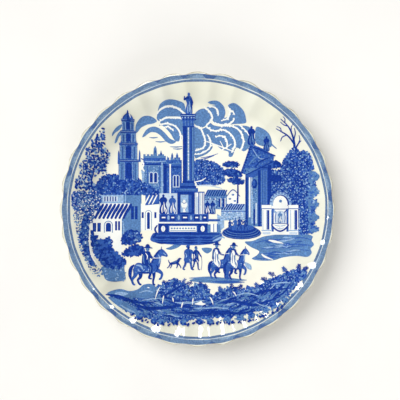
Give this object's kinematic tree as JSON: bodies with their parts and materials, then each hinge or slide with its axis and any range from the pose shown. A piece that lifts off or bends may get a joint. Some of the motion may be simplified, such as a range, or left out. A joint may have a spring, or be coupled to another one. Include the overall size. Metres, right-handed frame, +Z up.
{
  "type": "souvenir plate",
  "caption": "Round display plate in fluted, scalloped glazed earthenware on a low foot ring, with a blue printed town scene inside a double rim band.",
  "frame": {"origin": "centre of the foot ring's resting face, on the table", "axes": "+Z up out of the dish along its axis, +Y towards the top of the printed scene, +X towards its right side"},
  "size_m": [0.265, 0.265, 0.0296],
  "materials": {
    "cream_glaze": "gloss, slightly wavy clear glaze over a cream body",
    "bare_clay": "matte, unglazed where it rests",
    "band_ink": "gloss, brushed grey-blue under glaze",
    "dark_ink": "gloss, dark cobalt print under glaze",
    "mid_ink": "gloss, cobalt print under glaze",
    "light_ink": "gloss, pale cobalt wash under glaze"
  },
  "bodies": {
    "root": {"plate_body": "cream_glaze", "foot_ring": "bare_clay", "rim_band_print": "band_ink", "rim_line_print": "band_ink", "cloud_print": "light_ink", "church_print": "dark_ink", "column_print": "dark_ink", "plinth_print": "dark_ink", "hedge_print": "dark_ink", "villa_print": "light_ink", "left_tree_print": "mid_ink", "left_bush_print": "mid_ink", "hill_tree_print": "dark_ink", "pine_print": "dark_ink", "cottage_print": "light_ink", "portico_print": "dark_ink", "steps_print": "dark_ink", "right_tree_print": "mid_ink", "bare_branch_print": "dark_ink", "niche_print": "light_ink", "shade_print": "light_ink", "lone_rider_print": "mid_ink", "dog_print": "dark_ink", "walkers_print": "mid_ink", "rider_pair_print": "mid_ink", "foreground_print": "dark_ink"}
  },
  "joints": []
}
